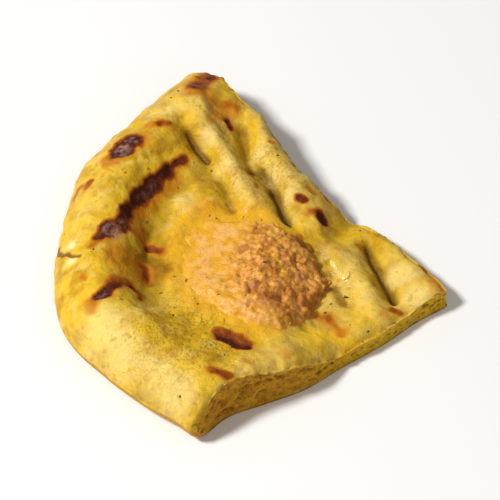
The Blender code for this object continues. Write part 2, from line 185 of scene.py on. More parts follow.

# Patches of the skin's tints, each with its place, radius and strength: golden-brown and toasted; pale, which
# is torn crumb in places and elsewhere painted light on lit flanks and a painted highlight; and dark
# olive-brown, partly oil stain and partly painted shade, the last in the hollow inside the crust and beside the
# heap
TOASTED = (
    ((-63, 52), 6.5, 0.6), ((-73, 30), 5.0, 0.7), ((-64, 33), 4.5, 0.5), ((-3, 1), 4.0, 0.8),
    ((-27, -13), 5.0, 0.5), ((-23, -21), 4.0, 0.5), ((-75, -5), 5.5, 0.8), ((-71, -10), 5.0, 0.5),
    ((-58, 14), 3.6, 0.8), ((-51, 9), 4.0, 0.5), ((-31, 21), 4.0, 0.5), ((-25, 10), 5.0, 0.35),
    ((-64, -4), 4.5, 0.5), ((-40.0, -34.6), 3.2, 0.7), ((-34.4, -28.8), 3.0, 0.7), ((-45.5, -39.0), 2.6, 0.6),
    ((-83, 24), 4.0, 0.3), ((-12.5, -8.5), 2.4, 0.6),
)
PALE_AND_LIT_PATCHES = (
    ((-76, -27), 5.5, 0.9), ((-70, -34), 5.0, 0.9), ((-62, -38), 5.0, 0.7), ((-56, -43), 5.0, 0.9),
    ((-64, 16.8), 2.8, 1.0), ((-61, 13.5), 2.4, 0.8), ((-66, 9), 2.0, 0.6), ((-60, 35.5), 3.2, 0.9),
    ((-55.5, 27.5), 3.0, 0.8), ((-51.5, 21.5), 2.6, 0.6), ((-48, 33), 2.8, 0.9), ((-44.5, 26.5), 2.6, 0.8),
    ((-39.5, 20), 2.4, 0.8), ((-38.5, 27), 3.0, 0.7), ((-41, 32), 2.2, 0.5), ((-6.5, -2.6), 2.6, 0.6),
    ((-9, 4.5), 3.6, 0.7), ((-25, -21), 3.0, 0.5), ((-86.5, -3.2), 2.0, 0.9), ((-85.5, -8.6), 1.8, 0.9),
    ((-76, 8), 3.5, 0.3), ((-70, 40), 3.4, 0.8), ((-24.5, 1.5), 1.8, 0.8), ((-19, -6), 3.4, 0.6),
    ((-13, 3.5), 3.0, 1.0), ((-8.5, -3), 3.0, 0.9), ((-19, -15), 2.8, 0.4),
)
STAINED_AND_SHADED = (
    ((-69.2, -2.4), 3.6, 0.75), ((-67.8, -8.0), 3.2, 0.75), ((-71.6, 3.6), 2.2, 0.5),
    ((-66.6, 2.4), 2.4, 0.4), ((-64.0, -4.2), 2.4, 0.65), ((-73.6, -5.5), 3.0, 0.35),
    ((-34.2, 11.8), 2.0, 0.6), ((-31.4, 8.8), 2.2, 0.7), ((-29.4, 5.0), 1.8, 0.6), ((-28.0, 1.6), 1.7, 0.8),
    ((-26.4, -2.6), 1.4, 1.0), ((-25.2, -4.6), 1.3, 1.0), ((-24.2, -6.2), 1.2, 1.0),
    ((-23.4, -7.4), 1.1, 0.7), ((-38.6, -31.6), 2.2, 0.35), ((-33.6, -26.0), 2.0, 0.3),
    ((-55.9, 31.4), 2.2, 0.45), ((-44.7, 34.0), 1.8, 0.35), ((-62.5, 31.0), 1.6, 0.4),
)
# Torn crumb at the crack in the rim, tan ash beside the char, dark speckles, oil, and painted light as the
# brightest yellow
TORN_SPOTS = (((-86.3, -3.4), 1.3, 1.0), ((-85.3, -8.3), 1.2, 1.0))
TAN_SPOTS = (((-76.2, 0.8), 1.6, 0.8), ((-77.2, -1.8), 2.0, 0.45), ((-76.0, -5.4), 2.2, 0.2))
GRAINY = (((-56, -26), 13.0, 1.3), ((-47, 28), 13.0, 0.65))
OILY = (((-25, -1), 6.5, 1.0),)
PAINTED_LIGHT_SPOTS = (
    ((-25.6, -17.2), 2.6, 1.0), ((-28.6, -19.6), 2.4, 0.8), ((-20.0, -13.2), 2.4, 0.6),
    ((-32.5, -21.5), 2.4, 0.5), ((-38.0, -22.0), 3.0, 0.4), ((-60.0, -18.0), 3.0, 0.5),
    ((-36.0, 33.0), 2.6, 0.5), ((-85.0, 11.0), 4.0, 0.45), ((-83.0, 19.0), 3.4, 0.4),
    ((-86.0, 3.0), 3.0, 0.4),
)

# Orange-brown places in the heap, partly browning and partly painted shade along its right edge
GARLIC_BROWN_AND_SHADE = (
    ((-40.3, -3.6), 2.2, 0.8), ((-48.2, 1.2), 2.0, 0.9), ((-39.5, -13.4), 2.6, 1.0), ((-45.4, 7.5), 2.6, 0.7),
    ((-36.0, 8.4), 3.0, 0.8), ((-31.0, -10.6), 3.2, 0.8), ((-28.8, -5.9), 2.4, 0.6),
    ((-44.0, -10.6), 2.2, 0.8), ((-35.0, -16.0), 2.4, 0.7), ((-36.0, -9.0), 2.0, 0.6),
    ((-33.0, 2.0), 2.2, 0.5), ((-29.0, 2.5), 2.4, 1.0), ((-31.4, 8.0), 2.4, 1.0), ((-34.4, 11.2), 2.2, 0.8),
    ((-27.6, -2.5), 1.8, 1.0), ((-41.5, 3.5), 1.8, 0.6), ((-50.5, -7.5), 2.0, 0.4),
)

# Small dome-like blisters: place, height and radius
BLISTERS = (
    ((-82, 14), 0.5, 3.4), ((-79, -9), 0.6, 3.0), ((-74, -24), 0.5, 3.6), ((-73, 29), 0.5, 3.2),
    ((-64, 16), 0.7, 3.0), ((-26.4, 3.4), 0.7, 2.2), ((-24.2, 0.8), 0.5, 1.5), ((-44, -31), 0.5, 2.8),
    ((-57, -28), 0.4, 3.4), ((-36, 29), 0.4, 2.4),
)
WEAK_BLISTERS, BLISTER_SEED = 70, 11

# Garlic heap: a thick mound and a thin smear on its crust side, with the heap's reach from its middle by
# angle in degrees
GARLIC_AT = (-44.3, -4.2)
GARLIC_REACH = (
    (-180, 17.1), (-150, 15.9), (-131, 14.9), (-112, 14.2), (-86, 16.2), (-68, 18.2), (-46, 17.1),
    (-16, 16.6), (2, 17.0), (24, 16.9), (42, 16.8), (61, 17.0), (81, 16.7), (105, 17.9),
    (118, 19.6), (130, 21.4), (142, 21.2), (157, 19.2), (180, 17.1),
)
MOUND_AT, MOUND_HEIGHT, MOUND_RADIUS = (-38.5, -4.0), 2.5, (11.5, 15.0)
SMEAR_THICKNESS = 0.9
RAGGED_EDGE = ((0.12, 5.0, 41.0), (0.07, 2.2, 43.0), (0.03, 1.0, 47.0))
GARLIC_EDGE_SHARE = 0.20
GARLIC_UNEVEN = ((0.6, 2.6, 31.0), (0.6, 5.0, 37.0))
GARLIC_CLUMPS = ((0.5, 2.4, 103.0), (0.3, 1.2, 107.0))
GARLIC_SINKS = 1.2
GRAIN_PITCH, GRAIN_RELIEF = 1.5, 0.6
VOXEL = 0.3
BED_SMOOTH_FROM, BED_SMOOTH_OVER = 0.95, 0.25

# Small pieces: how many, and their smallest and largest radius
LARGE_GRAINS, SMALL_GRAINS, STRAY_GRAINS = 560, 900, 26
LARGE_RADIUS, SMALL_RADIUS, STRAY_RADIUS = (0.5, 0.9), (0.26, 0.5), (0.2, 0.45)
HERB_FLAKES, BREAD_CRUMBS = 20, 30
FLAKE_RADIUS, CRUMB_RADIUS = (0.2, 0.45), (0.15, 0.35)
GRAIN_SEED, STRAY_SEED, FLAKE_SEED, CRUMB_SEED, BEAD_SEED = 21, 22, 23, 24, 25

# Beads of oil that gleam beside the heap: place and radius
OIL_BEADS = (
    ((-28.2, 5.5), 0.4), ((-27.4, 4.4), 0.9), ((-26.6, 3.4), 0.5), ((-25.2, 2.0), 0.6), ((-24.3, 0.8), 1.0),
    ((-23.7, -0.4), 0.5),
)

# Cells along a side of each grid, rows up the wedge's wall, and how close a point counts as on an edge
WEDGE_CELLS, WALL_ROWS = 184, 20
GARLIC_CELLS = 130
TOUCHING = 1e-5


def smooth(share):
    share = np.clip(share, 0.0, 1.0)
    return share * share * (3.0 - 2.0 * share)


def bell(distance, width):
    return np.exp(-((distance / width) ** 2))


def rough(x, y, wavelength, seed, z=None):
    """Smooth noise between about -1 and 1, over the plan or through space."""
    depth = np.zeros(len(x)) if z is None else z / wavelength
    return np.array(
        [noise.noise(Vector((a, b, c + seed))) for a, b, c in zip(x / wavelength, y / wavelength, depth)]
    )


def cells(x, y, z, pitch, seed):
    """Distance to the nearest of scattered points, in pitches, and a random share for that point's cell."""
    near, value = np.empty(len(x)), np.empty(len(x))
    for i, (a, b, c) in enumerate(zip(x / pitch, y / pitch, z / pitch)):
        distances, points = noise.voronoi(Vector((a, b, c + seed)))
        near[i] = distances[0]
        value[i] = (points[0].x * 12.9898 + points[0].y * 78.233 + points[0].z * 37.719) * 43.5453 % 1.0
    return near, value


def unevenness(x, y, layers, z=None):
    """Layers of noise added up, over the plan or through space."""
    return sum(height * rough(x, y, wavelength, seed, z) for height, wavelength, seed in layers)


def distance_to_path(x, y, path):
    nearest = np.full(x.shape, np.inf)
    for (ax, ay), (bx, by) in zip(path, path[1:]):
        dx, dy = bx - ax, by - ay
        along = np.clip(((x - ax) * dx + (y - ay) * dy) / (dx * dx + dy * dy), 0.0, 1.0)
        nearest = np.minimum(nearest, np.hypot(x - ax - along * dx, y - ay - along * dy))
    return nearest


def through(points, at):
    """Smooth curve through pairs of place and value."""
    places, values = np.array(points, float).T
    slopes = np.gradient(values, places)
    left = np.clip(np.searchsorted(places, at) - 1, 0, len(places) - 2)
    gap = places[left + 1] - places[left]
    share = np.clip((at - places[left]) / gap, 0.0, 1.0)
    before = (1.0 + 2.0 * share) * values[left] + share * gap * slopes[left]
    after = (3.0 - 2.0 * share) * values[left + 1] + (share - 1.0) * gap * slopes[left + 1]
    return (1.0 - share) ** 2 * before + share**2 * after


def crust_distance(theta):
    """Distance from the apex to the outermost crust, with its two corners rounded."""
    radius = through(CRUST, np.degrees(theta))
    for side, corner in ((1.0, FAR_CORNER_ROUND), (-1.0, NEAR_CORNER_ROUND)):
        past = np.clip(corner - radius * (HALF_ANGLE - side * theta), 0.0, corner)
        radius = radius - (corner - np.sqrt(corner**2 - past**2))
    return radius


def place(theta, r):
    """Plan point at an angle and a distance from the apex, with the tip blunted and the cuts bent."""
    x, y = -r * np.cos(theta), r * np.sin(theta)
    x = -np.sqrt(x * x + APEX_BLUNT**2)
    far = np.clip(theta / HALF_ANGLE, 0.0, 1.0) ** 2 * through(FAR_CUT, r)
    near = np.clip(-theta / HALF_ANGLE, 0.0, 1.0) ** 2 * through(NEAR_CUT, r)
    x = x + np.sin(HALF_ANGLE) * (near + far)
    y = y - np.cos(HALF_ANGLE) * (near - far)
    return x, y


def garlic_outline(angle):
    """Reach of the garlic from its middle at an angle."""
    return through(GARLIC_REACH, (np.degrees(angle) + 180.0) % 360.0 - 180.0)


def garlic_share(x, y):
    """0 in the middle of the garlic, 1 at its outline and more outside it."""
    dx, dy = x - GARLIC_AT[0], y - GARLIC_AT[1]
    return np.hypot(dx, dy) / garlic_outline(np.arctan2(dy, dx))


def garlic_mound(x, y):
    """1 on top of the thick part of the heap, falling to 0 on its smear."""
    return bell((x - MOUND_AT[0]) / MOUND_RADIUS[0], 1.0) * bell((y - MOUND_AT[1]) / MOUND_RADIUS[1], 1.0)


def rim_puff(theta):
    """Share of the rim's height: full along the crust, half at the near corner and less at the far one."""
    near = smooth((theta - NEAR_RIM_FROM) / (NEAR_RIM_TO - NEAR_RIM_FROM))
    far = smooth((theta - FAR_RIM_FROM) / (HALF_ANGLE - FAR_RIM_FROM))
    return NEAR_RIM_SHARE + (1.0 - NEAR_RIM_SHARE) * near - FAR_RIM_LOSS * far


def relief(x, y):
    """Folds, creases and swellings of the top, which stop where the garlic lies."""
    detail = unevenness(x, y, UNEVEN)
    for path, rise, width in FOLDS:
        detail = detail + rise * bell(distance_to_path(x, y, path), width)
    for path, rise, width, _ in FINE_CREASES:
        detail = detail + rise * bell(distance_to_path(x, y, path), width)
    for (cx, cy), rise, width in SWELLINGS:
        detail = detail + rise * bell(np.hypot(x - cx, y - cy), width)
    return detail * smooth((garlic_share(x, y) - BED_SMOOTH_FROM) / BED_SMOOTH_OVER)


def top_height(x, y, theta, r):
    """Height of the bread's upper skin, without the rounding at the crust."""
    inset = crust_distance(theta) - r
    from_cut = r * np.sin(np.clip(HALF_ANGLE - np.abs(theta), 0.0, None))
    thick = smooth((r - THICKENS_FROM) / THICKENS_OVER)
    height = APEX_THICKNESS + (BODY_THICKNESS - APEX_THICKNESS) * thick
    height = height + rim_puff(theta) * RIM_HEIGHT * bell(inset - RIM_INSET, RIM_WIDTH)
    height = height - HOLLOW_DEPTH * bell(np.hypot(x - HOLLOW_AT[0], y - HOLLOW_AT[1]), HOLLOW_RADIUS)
    height = height + relief(x, y)
    return height - PRESSED_EDGE * bell(from_cut, PRESSED_WIDTH) * smooth(r / PRESSED_FROM)


def polar(x, y):
    """Angle and distance from the apex of a plan point."""
    return np.arctan2(y, -x), np.hypot(x, y)


def onto_disc(u, v):
    """Points of the square from -1 to 1 moved onto the unit disc."""
    return u * np.sqrt(1.0 - v * v / 2.0), v * np.sqrt(1.0 - u * u / 2.0)


def boxed_grid(count, rows):
    """Corners and quads of a unit box's surface: a grid on its top and underside, rows round its sides."""
    side = np.linspace(0.0, 1.0, count + 1)
    u, v = np.meshgrid(side, side, indexing="ij")
    flat = np.stack([u.ravel(), v.ravel()], axis=1)
    number = np.arange((count + 1) ** 2).reshape(count + 1, count + 1)
    quads = np.stack(
        [number[:-1, :-1].ravel(), number[1:, :-1].ravel(), number[1:, 1:].ravel(), number[:-1, 1:].ravel()],
        axis=1,
    )
    ring = np.concatenate([number[:-1, 0], number[-1, :-1], number[:0:-1, -1], number[0, :0:-1]])
    size = len(flat)
    points = [np.column_stack([flat, np.zeros(size)]), np.column_stack([flat, np.ones(size)])]
    rings = [ring]
    for row in range(1, rows):
        rings.append(2 * size + (row - 1) * len(ring) + np.arange(len(ring)))
        points.append(np.column_stack([flat[ring], np.full(len(ring), row / rows)]))
    rings.append(ring + size)
    faces = [quads[:, ::-1], quads + size]
    for low, high in zip(rings, rings[1:]):
        faces.append(np.stack([low, np.roll(low, -1), np.roll(high, -1), high], axis=1))
    return np.concatenate(points).T, np.concatenate(faces)


def in_frame(x, y, z):
    """Points of the plan, in metres in the frame's coordinates."""
    return np.stack([x + APEX_PLACE[0], y + APEX_PLACE[1], z], axis=1) * MM


def mesh_of(name, x, y, z, faces):
    data = bpy.data.meshes.new(name)
    data.from_pydata(in_frame(x, y, z).tolist(), [], faces.tolist())
    data.shade_smooth()
    return data


def normals_of(data):
    found = np.empty(len(data.vertices) * 3)
    data.vertex_normals.foreach_get("vector", found)
    return found.reshape(-1, 3).T


def move_points(data, x, y, z):
    data.vertices.foreach_set("co", in_frame(x, y, z).astype(np.float32).ravel())
    data.update()


def paint(data, name, values):
    """Keeps a share for each point under a name that the materials read."""
    data.attributes.new(name, "FLOAT", "POINT").data.foreach_set("value", np.asarray(values, np.float32))


def show(name, data, material, slot, *replaced):
    """Puts a mesh into the scene as a piece of the part, in place of the nodes that it replaces."""
    piece = bpy.data.objects.new(name, data)
    bpy.context.scene.collection.objects.link(piece)
    data.materials.clear()
    data.materials.append(material)
    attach(piece, "root")
    if replaced:
        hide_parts(*replaced)


def burnt_shares(x, y):
    """How burnt the skin is, and its share of grey ash."""
    burn, ash = np.zeros(len(x)), np.zeros(len(x))
    ragged, blotchy = unevenness(x, y, BURN_RAGGED), 1.0 + unevenness(x, y, BURN_BLOTCHY)
    for path, width, spread, strength, *ashes in MARKS:
        away = distance_to_path(x, y, path) + ragged * min(1.0, 0.3 + 0.3 * (width + spread))
        fade = smooth((width + spread - away) / spread)
        burn = 1.0 - (1.0 - burn) * (1.0 - strength * fade * (0.5 + 0.5 * fade))
        for grey in ashes:
            ash = np.maximum(ash, grey * smooth((width - away + 0.5) / 1.3))
    return np.clip(burn * blotchy, 0.0, 1.0), ash


def patches(x, y, places):
    """Share between 0 and 1 of soft round patches, summed where they overlap."""
    found = np.zeros(len(x))
    for (cx, cy), radius, strength in places:
        found = found + strength * bell(np.hypot(x - cx, y - cy), radius)
    return np.clip(found, 0.0, 1.0)


def crease_shade_share(x, y):
    """How much painted shade darkens the skin along the sharp creases."""
    found = np.zeros(len(x))
    for path, _, width, dark in FINE_CREASES:
        found = np.maximum(found, dark * bell(distance_to_path(x, y, path), width * 1.25))
    return found


def blister_height(x, y):
    """Height of the blisters: the listed domes, and weak ones in random places."""
    source = random.Random(BLISTER_SEED)
    domes = list(BLISTERS)
    for _ in range(WEAK_BLISTERS):
        domes.append((on_bread(source), source.uniform(0.12, 0.35), source.uniform(1.0, 2.2)))
    height = np.zeros(len(x))
    for (cx, cy), rise, radius in domes:
        inside = np.clip(1.0 - (np.hypot(x - cx, y - cy) / radius) ** 2, 0.0, 1.0)
        height = np.maximum(height, rise * inside**1.3)
    return height


def crumb_depth(along, z, across):
    """Depth of the air holes in the cut sides, in flat layers."""
    near, value = cells(along * 0.8, across, z * 1.9, 1.9, 61.0)
    large = 0.80 * smooth((0.50 - near) / 0.30) * (value > 0.5)
    near, value = cells(along, across, z * 1.8, 0.95, 67.0)
    small = 0.40 * smooth((0.5 - near) / 0.4) * (value > 0.3)
    return large + small


def crust_rounding(share, reach, on_crust, w):
    """Each point's distance in from the crust, the crust's slope there, and whether it is past the rounding.

    The slope is level on the top and the underside, and upright at half height.
    """
    curved = EDGE_ROUND * (math.pi / 2.0 - WALL_SLOPE)
    nominal = (1.0 - share) * reach
    slope = WALL_SLOPE + (math.pi / 2.0 - WALL_SLOPE) * np.clip(nominal / curved, 0.0, 1.0)
    slope = np.where(on_crust, np.abs(2.0 * w - 1.0) * WALL_SLOPE, slope)
    inside = EDGE_ROUND + (nominal - curved) * (reach - EDGE_ROUND) / (reach - curved)
    inset = np.where(nominal > curved, inside, EDGE_ROUND * (1.0 - np.cos(slope)))
    return inset, slope, nominal >= curved


def skin_relief(x, y, z, char, from_cut):
    """Fine relief of the skin: roughness, blisters, pits, crumbling char and an uneven lip along the cuts."""
    near, value = cells(x, y, z, PIT_PITCH, 83.0)
    pits = PIT_DEPTH * smooth((0.26 - near) / 0.2) * (value > 0.55)
    crumbled = CHAR_DEPTH * char * (1.0 + 0.6 * rough(x, y, 0.7, 89.0))
    move = unevenness(x, y, SKIN_ROUGH, z) + blister_height(x, y) * (1.0 - char) - pits - crumbled
    move = move * smooth((garlic_share(x, y) - 0.8) / 0.2)
    return move - bell(from_cut, LIP_WIDTH) * (0.6 + 0.7 * rough(x, y, 2.1, 81.0))


def paint_skin(data, x, y, skin):
    """Shares of the skin's tints: painted shade where it is carved and a painted highlight where it is raised,
    the patches, some of them painted light and shade, the painted shade of the creases and the garlic's oil.
    """
    carved, from_garlic = relief(x, y), garlic_share(x, y)
    shares = {
        # partly oil and partly painted shade: olive laid into the carved places
        "low": np.clip(-carved / 2.0, 0.0, 1.0),
        # painted highlight: pale laid on the raised places
        "high": np.clip((carved - 0.4) / 2.0, 0.0, 1.0),
        "toast": patches(x, y, TOASTED),
        # pale patches: torn crumb at the rim's crack, elsewhere painted light on lit flanks and a painted
        # highlight beside the heap
        "pale": patches(x, y, PALE_AND_LIT_PATCHES),
        # partly oil stain and partly painted shade: dark olive-brown in the hollow inside the crust and beside
        # the heap
        "umber_stain_and_shade": patches(x, y, STAINED_AND_SHADED),
        "tan": patches(x, y, TAN_SPOTS),
        # painted light: the brightest yellow
        "painted_light": patches(x, y, PAINTED_LIGHT_SPOTS),
        "torn": patches(x, y, TORN_SPOTS),
        "grainy": patches(x, y, GRAINY),
        # painted shade along the sharp creases
        "crease_shade": crease_shade_share(x, y),
        "oil": np.clip(patches(x, y, OILY) + bell(from_garlic - 1.05, 0.18), 0.0, 1.0),
        "stain": smooth((1.42 - from_garlic) / 0.45) * smooth((-x - 30) / 14.0),
    }
    for name, values in shares.items():
        paint(data, name, values * skin)


def bread():
    """The wedge: a fan of its plan, rounded at the crust, with relief in its skin and its cuts."""
    (u, v, w), faces = boxed_grid(WEDGE_CELLS, WALL_ROWS)
    a, b = onto_disc(u, v)
    theta = (np.arctan2(a, b) / (math.pi / 2.0) - 0.5) * 2.0 * HALF_ANGLE
    reach = crust_distance(theta)
    share = np.minimum(np.hypot(a, b), 1.0)
    on_crust = share > 1.0 - TOUCHING
    on_wall = (w > TOUCHING) & (w < 1.0 - TOUCHING)
    inset, slope, flat = crust_rounding(share, reach, on_crust, w)
    x, y = place(theta, reach - inset)

    top = top_height(x, y, theta, reach - inset)
    middle = MIDDLE_SHARE * top
    upper = middle + np.sin(slope) * (top - middle)
    lower = np.where(flat, 0.0, middle * (1.0 - np.sin(slope)))
    z = lower + (upper - lower) * np.where(on_crust, np.round(w), w)
    z = np.where(on_crust & on_wall, middle + (w - 0.5) * (upper - lower), z)

    data = mesh_of("bread", x, y, z, faces)
    nx, ny, nz = normals_of(data)
    cut_face = ((u < TOUCHING) | (v < TOUCHING)) & ~on_crust & on_wall
    skin = smooth((w - 0.5) / 0.3) * (w > 0.5) * ~cut_face
    under = smooth((0.5 - w) / 0.3) * ~cut_face

    burn, ash = burnt_shares(x, y)
    burn, ash = burn * skin, ash * skin
    from_cut = np.where(on_crust, np.inf, np.minimum(u, v) * reach)
    skin_move = skin_relief(x, y, z, smooth((burn - 0.6) / 0.3), from_cut)

    from_edge = np.minimum(upper - z, z - lower)
    holes = np.zeros(len(x))
    along, across = share[cut_face] * reach[cut_face], np.where(u[cut_face] < TOUCHING, 0.0, 40.0)
    holes[cut_face] = crumb_depth(along, z[cut_face], across)
    holes = holes * smooth((from_edge - 0.3) / 0.8)
    cut_move = 0.40 * rough(x, y, 4.0, 91.0, z * 0.6) + 0.15 * rough(x, y, 1.3, 93.0, z * 1.6)
    cut_move = cut_move - holes - CRUMB_SETBACK

    move = np.where(cut_face, cut_move, skin * skin_move)
    x, y, z = x + nx * move, y + ny * move, z + nz * move
    z = z + under * UNDERSIDE_RELIEF * (0.5 + 0.5 * rough(x, y, 6.0, 97.0)) * (nz < -0.9)
    z = np.clip(z, 0.0, None)
    z = np.where(z > TALLEST - 1.0, TALLEST - np.exp(-(z - TALLEST + 1.0)), z)
    move_points(data, x, y, z)

    paint_skin(data, x, y, skin)
    paint(data, "burn", burn)
    paint(data, "ash", ash)
    # painted light: the cut sides' crumb is made yellower towards the tip
    paint(data, "crumb_painted_light", smooth((x + 34) / 18.0) * cut_face)
    paint(data, "crumb", cut_face * smooth(from_edge / 0.9))
    # painted shade in the crumb's air holes, by their depth
    paint(data, "pore_shade", np.clip(holes / 0.9, 0.0, 1.0))
    paint(data, "under", under * (nz < 0.2))
    return data


def garlic_top(x, y):
    """Thickness of the heap over the bread, thinning to nothing at a ragged edge, and how mounded it is."""
    share = garlic_share(x, y) + unevenness(x, y, RAGGED_EDGE)
    mound = garlic_mound(x, y)
    body = SMEAR_THICKNESS + MOUND_HEIGHT * mound + unevenness(x, y, GARLIC_UNEVEN) * (0.35 + 0.65 * mound)
    return body * smooth((1.0 - share) / GARLIC_EDGE_SHARE) - 0.25, mound


def garlic_core():
    """The heap's body, from inside the bread up to its uneven top."""
    (u, v, w), faces = boxed_grid(GARLIC_CELLS, 2)
    a, b = onto_disc(2.0 * u - 1.0, 2.0 * v - 1.0)
    reach = garlic_outline(np.arctan2(b, a)) * 1.08
    x, y = GARLIC_AT[0] + a * reach, GARLIC_AT[1] + b * reach
    thickness, mound = garlic_top(x, y)
    near, value = cells(x, y, np.zeros(len(x)), GRAIN_PITCH, 101.0)
    rounded = np.sqrt(np.clip(1.0 - (near / 0.66) ** 2, 0.0, 1.0))
    uneven = GRAIN_RELIEF * (rounded - 0.45) * (0.6 + 0.8 * value) + unevenness(x, y, GARLIC_CLUMPS)
    uneven = uneven * (0.14 + 0.86 * smooth(mound * 1.5))
    bed = top_height(x, y, *polar(x, y))
    z = np.where(w > 0.99, bed + thickness + uneven * smooth(thickness / 0.8), bed - GARLIC_SINKS)
    z = np.where((w > TOUCHING) & (w < 0.99), bed - 0.5, z)
    return mesh_of("garlic_core", x, y, z, faces)


def lump(detail):
    """A round lump's corners and faces, ready to be copied."""
    mesh = bmesh.new()
    bmesh.ops.create_icosphere(mesh, subdivisions=detail, radius=1.0)
    points = np.array([vertex.co[:] for vertex in mesh.verts])
    faces = np.array([[vertex.index for vertex in face.verts] for face in mesh.faces])
    mesh.free()
    return points, faces


def scatter(name, places, sizes, stretch, source, detail, uneven):
    """Many lumps as one mesh, each at its place in metres and turned at random about its normal."""
    base, base_faces = lump(detail)
    points, faces, tints = [], [], []
    for number, ((spot, normal), size) in enumerate(zip(places, sizes)):
        own = Vector((number * 7.3, 0.0, 0.0))
        wobble = 1.0 + uneven * np.array([noise.noise(Vector(p) * 1.3 + own) for p in base])
        shape = base * wobble[:, None] * np.array([s * size for s in stretch(source)])
        spin = Matrix.Rotation(source.uniform(0.0, math.tau), 3, "Z")
        turn = normal.to_track_quat("Z", "Y").to_matrix() @ spin
        points.append(shape @ np.array(turn).T + np.array(spot))
        faces.append(base_faces + number * len(base))
        tints.append(np.full(len(base), source.random()))
    data = bpy.data.meshes.new(name)
    data.from_pydata(np.concatenate(points).tolist(), [], np.concatenate(faces).tolist())
    data.shade_smooth()
    paint(data, "tint", np.concatenate(tints))
    return data


def grain_stretch(source):
    return source.uniform(0.85, 1.25), source.uniform(0.75, 1.05), source.uniform(0.65, 0.95)


def flake_stretch(source):
    return source.uniform(1.0, 1.7), source.uniform(0.4, 0.8), 0.14


def bead_stretch(source):
    return source.uniform(1.1, 1.4), source.uniform(0.8, 1.0), 0.36


def drop_on(tree, x, y, lift):
    """Where a straight drop lands on a surface, with the surface's normal there."""
    above = Vector(((x + APEX_PLACE[0]) * MM, (y + APEX_PLACE[1]) * MM, 0.05))
    spot, normal, _, _ = tree.ray_cast(above, Vector((0.0, 0.0, -1.0)))
    return (spot + normal * lift * MM, normal) if spot else None


def joined(meshes):
    """Corners and faces of several meshes, as one list of each."""
    points, faces = [], []
    for data in meshes:
        faces += [[i + len(points) for i in face.vertices] for face in data.polygons]
        points += [vertex.co[:] for vertex in data.vertices]
    return points, faces


def surface_tree(*meshes):
    return bvhtree.BVHTree.FromPolygons(*joined(meshes))


def melted(name, parts):
    """Runs meshes into one moist mass: voxels over all of them, then a light smoothing."""
    points, faces = joined(parts)
    data = bpy.data.meshes.new(name)
    data.from_pydata(points, [], faces)
    mass = bpy.data.objects.new(name, data)
    bpy.context.scene.collection.objects.link(mass)
    voxels = mass.modifiers.new("voxels", "REMESH")
    voxels.mode = "VOXEL"
    voxels.voxel_size = VOXEL * MM
    softer = mass.modifiers.new("softer", "SMOOTH")
    softer.iterations = 1
    bpy.context.view_layer.update()
    made = bpy.data.meshes.new_from_object(mass.evaluated_get(bpy.context.evaluated_depsgraph_get()))
    bpy.data.objects.remove(mass)
    made.shade_smooth()
    return made


def garlic_heap(core_data, grain_data):
    """The heap as one mass, with each grain's tint and how thick and how dense the garlic is below it."""
    data = melted("garlic_heap", (core_data, grain_data))
    tints = np.empty(len(grain_data.vertices))
    grain_data.attributes["tint"].data.foreach_get("value", tints)
    tree = kdtree.KDTree(len(tints))
    for number, vertex in enumerate(grain_data.vertices):
        tree.insert(vertex.co, number)
    tree.balance()
    tint, away = np.empty(len(data.vertices)), np.empty(len(data.vertices))
    for number, vertex in enumerate(data.vertices):
        _, nearest, distance = tree.find(vertex.co)
        tint[number], away[number] = tints[nearest], distance / MM
    points = np.empty(len(data.vertices) * 3)
    data.vertices.foreach_get("co", points)
    x, y, _ = points.reshape(-1, 3).T / MM
    x, y = x - APEX_PLACE[0], y - APEX_PLACE[1]
    thickness, mound = garlic_top(x, y)
    thin = 1.0 - smooth((thickness + 0.15) / 1.0)
    outer = smooth((garlic_share(x, y) - 0.6) / 0.4) * (1.0 - smooth(mound * 1.5))
    paint(data, "tint", tint)
    # brown places, partly browning and partly painted shade
    paint(data, "brown_and_shade", patches(x, y, GARLIC_BROWN_AND_SHADE))
    # painted shade in the gaps between the grains
    paint(data, "groove_shade", smooth((away - 0.10) / 0.4))
    paint(data, "dense", smooth(mound * 1.5 - 0.15))
    paint(data, "thin", np.maximum(thin, 0.7 * outer))
    return data


def garlic_point(angle, reach):
    """Plan point at an angle and a distance from the garlic's middle."""
    return GARLIC_AT[0] + reach * math.cos(angle), GARLIC_AT[1] + reach * math.sin(angle)


def heap_grains(tree):
    """Grains that stand out of the mound, sunk into it by about half."""
    source = random.Random(GRAIN_SEED)
    places, sizes = [], []
    for count, radii in ((LARGE_GRAINS, LARGE_RADIUS), (SMALL_GRAINS, SMALL_RADIUS)):
        wanted = len(places) + count
        while len(places) < wanted:
            angle, share = source.uniform(0.0, math.tau), math.sqrt(source.random())
            x, y = garlic_point(angle, float(garlic_outline(angle)) * share)
            thick = float(garlic_mound(np.array([x]), np.array([y]))[0])
            if source.random() > 1.5 * thick - 0.25:
                continue
            size = source.uniform(*radii)
            places.append(drop_on(tree, x, y, size * source.uniform(-0.6, -0.1)))
            sizes.append(size * MM)
    return scatter("garlic_grains", places, sizes, grain_stretch, source, 2, 0.6)


def stray_grains(tree):
    """Loose grains round the heap's edge."""
    source = random.Random(STRAY_SEED)
    places, sizes = [], []
    while len(places) < STRAY_GRAINS:
        angle = source.uniform(0.0, math.tau)
        reach = float(garlic_outline(angle)) * (0.90 + abs(source.gauss(0.0, 0.09)))
        landed = drop_on(tree, *garlic_point(angle, reach), -0.05)
        if landed is None:
            continue
        places.append(landed)
        sizes.append(source.uniform(*STRAY_RADIUS) * MM)
    return scatter("garlic_strays", places, sizes, grain_stretch, source, 2, 0.55)


def oil_beads(tree):
    places = [drop_on(tree, x, y, -0.1) for (x, y), _ in OIL_BEADS]
    sizes = [radius * MM for _, radius in OIL_BEADS]
    return scatter("oil_beads", places, sizes, bead_stretch, random.Random(BEAD_SEED), 3, 0.2)


